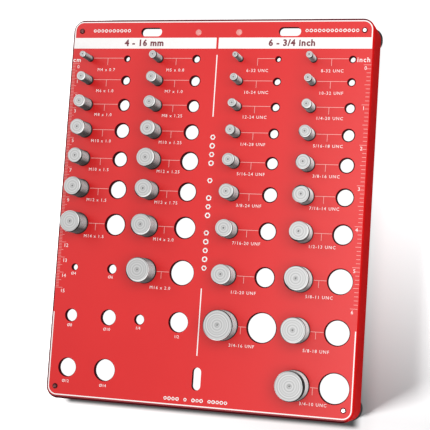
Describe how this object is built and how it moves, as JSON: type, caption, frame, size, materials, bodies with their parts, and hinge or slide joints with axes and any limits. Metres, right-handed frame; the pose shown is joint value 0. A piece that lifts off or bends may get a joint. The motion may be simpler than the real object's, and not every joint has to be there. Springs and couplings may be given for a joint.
{
  "type": "thread checker",
  "caption": "Flat steel panel with threaded studs for gauging nuts, matching holes for gauging bolts, plain gauge holes, edge rulers, hanging slots and rubber feet.",
  "frame": {"origin": "under the middle of the panel, on the surface that the feet stand on", "axes": "+X to the panel's right, +Y to its top edge, +Z out of its face"},
  "size_m": [0.2062, 0.252, 0.0455],
  "materials": {
    "panel_red": "smooth red paint with white print",
    "stud_steel": "turned and threaded steel",
    "fastener_steel": "plated steel",
    "foot_rubber": "matt black rubber"
  },
  "bodies": {
    "root": {"corner_screw_bottom_left": "fastener_steel", "corner_screw_bottom_right": "fastener_steel", "corner_screw_top_left": "fastener_steel", "corner_screw_top_right": "fastener_steel", "foot_bottom_left": "foot_rubber", "foot_bottom_right": "foot_rubber", "foot_top_left": "foot_rubber", "foot_top_right": "foot_rubber", "header_rivet_left": "fastener_steel", "header_rivet_right": "fastener_steel", "panel": "panel_red", "stud_10_24": "stud_steel", "stud_10_32": "stud_steel", "stud_12_24": "stud_steel", "stud_1_2_13": "stud_steel", "stud_1_2_20": "stud_steel", "stud_1_4_20": "stud_steel", "stud_1_4_28": "stud_steel", "stud_3_4_10": "stud_steel", "stud_3_4_16": "stud_steel", "stud_3_8_16": "stud_steel", "stud_3_8_24": "stud_steel", "stud_5_16_18": "stud_steel", "stud_5_16_24": "stud_steel", "stud_5_8_11": "stud_steel", "stud_5_8_18": "stud_steel", "stud_6_32": "stud_steel", "stud_7_16_14": "stud_steel", "stud_7_16_20": "stud_steel", "stud_8_32": "stud_steel", "stud_m10x1": "stud_steel", "stud_m10x1_25": "stud_steel", "stud_m10x1_5": "stud_steel", "stud_m12x1_25": "stud_steel", "stud_m12x1_5": "stud_steel", "stud_m12x1_75": "stud_steel", "stud_m14x1_5": "stud_steel", "stud_m14x2": "stud_steel", "stud_m16x2": "stud_steel", "stud_m4x0_7": "stud_steel", "stud_m5x0_8": "stud_steel", "stud_m6x1": "stud_steel", "stud_m7x1": "stud_steel", "stud_m8x1": "stud_steel", "stud_m8x1_25": "stud_steel"}
  },
  "joints": []
}
